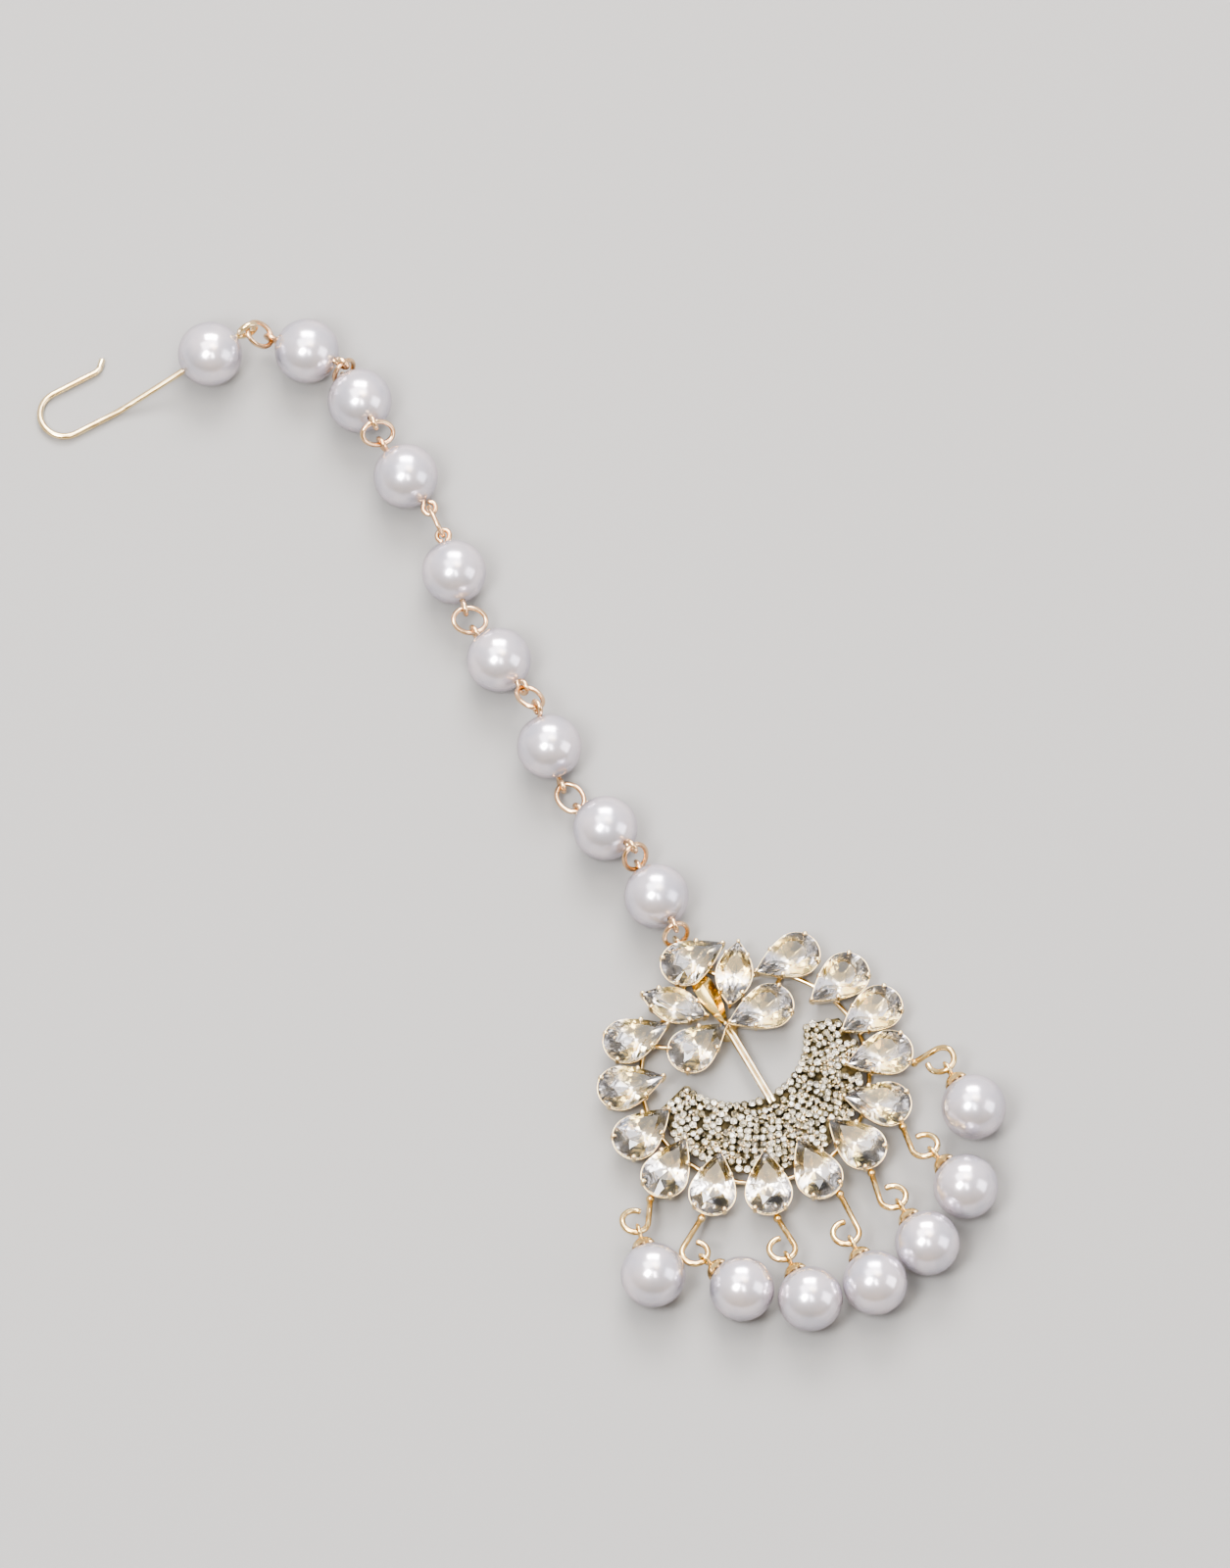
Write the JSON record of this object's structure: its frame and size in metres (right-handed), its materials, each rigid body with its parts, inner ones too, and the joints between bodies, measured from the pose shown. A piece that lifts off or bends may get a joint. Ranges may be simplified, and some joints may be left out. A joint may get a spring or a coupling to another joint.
{
  "type": "maang tikka",
  "caption": "Forehead ornament: a pearl chain with a hair hook and a round pendant of pear-cut clear stones, a pave crescent and pearl drops.",
  "frame": {"origin": "centre of the pendant's round hub, on its flat back", "axes": "+X across the pendant, to the right with the drops pointing down; +Y from the pendant along the chain towards the hair hook; +Z out through the stones"},
  "size_m": [0.06, 0.1588, 0.008],
  "materials": {
    "gold": "pale gold plate, polished",
    "crystal": "clear faceted stone",
    "pearl": "pearly lustre"
  },
  "bodies": {
    "root": {"pendant_frame": "gold", "ring_stone_1": "crystal", "ring_stone_2": "crystal", "ring_stone_3": "crystal", "ring_stone_4": "crystal", "ring_stone_5": "crystal", "ring_stone_6": "crystal", "ring_stone_7": "crystal", "ring_stone_8": "crystal", "ring_stone_9": "crystal", "ring_stone_10": "crystal", "ring_stone_11": "crystal", "ring_stone_12": "crystal", "ring_stone_13": "crystal", "top_stone": "crystal", "petal_pear_1": "crystal", "petal_pear_2": "crystal", "petal_marquise_1": "crystal", "petal_marquise_2": "crystal", "drop_pearl_1": "pearl", "drop_pearl_2": "pearl", "drop_pearl_3": "pearl", "drop_pearl_4": "pearl", "drop_pearl_5": "pearl", "drop_pearl_6": "pearl", "drop_pearl_7": "pearl", "drop_cap_1": "gold", "drop_cap_2": "gold", "drop_cap_3": "gold", "drop_cap_4": "gold", "drop_cap_5": "gold", "drop_cap_6": "gold", "drop_cap_7": "gold", "chain_pearl_1": "pearl", "chain_pearl_2": "pearl", "chain_pearl_3": "pearl", "chain_pearl_4": "pearl", "chain_pearl_5": "pearl", "chain_pearl_6": "pearl", "chain_pearl_7": "pearl", "chain_pearl_8": "pearl", "chain_pearl_9": "pearl", "chain_ring_1": "gold", "chain_ring_2": "gold", "chain_ring_3": "gold", "chain_ring_4": "gold", "chain_ring_5": "gold", "chain_ring_6": "gold", "chain_ring_7": "gold", "chain_ring_8": "gold", "chain_ring_9": "gold", "eye_pin_2": "gold", "eye_pin_3": "gold", "eye_pin_4": "gold", "eye_pin_5": "gold", "eye_pin_6": "gold", "eye_pin_7": "gold", "eye_pin_8": "gold", "eye_pin_9": "gold", "hair_hook": "gold"}
  },
  "joints": []
}
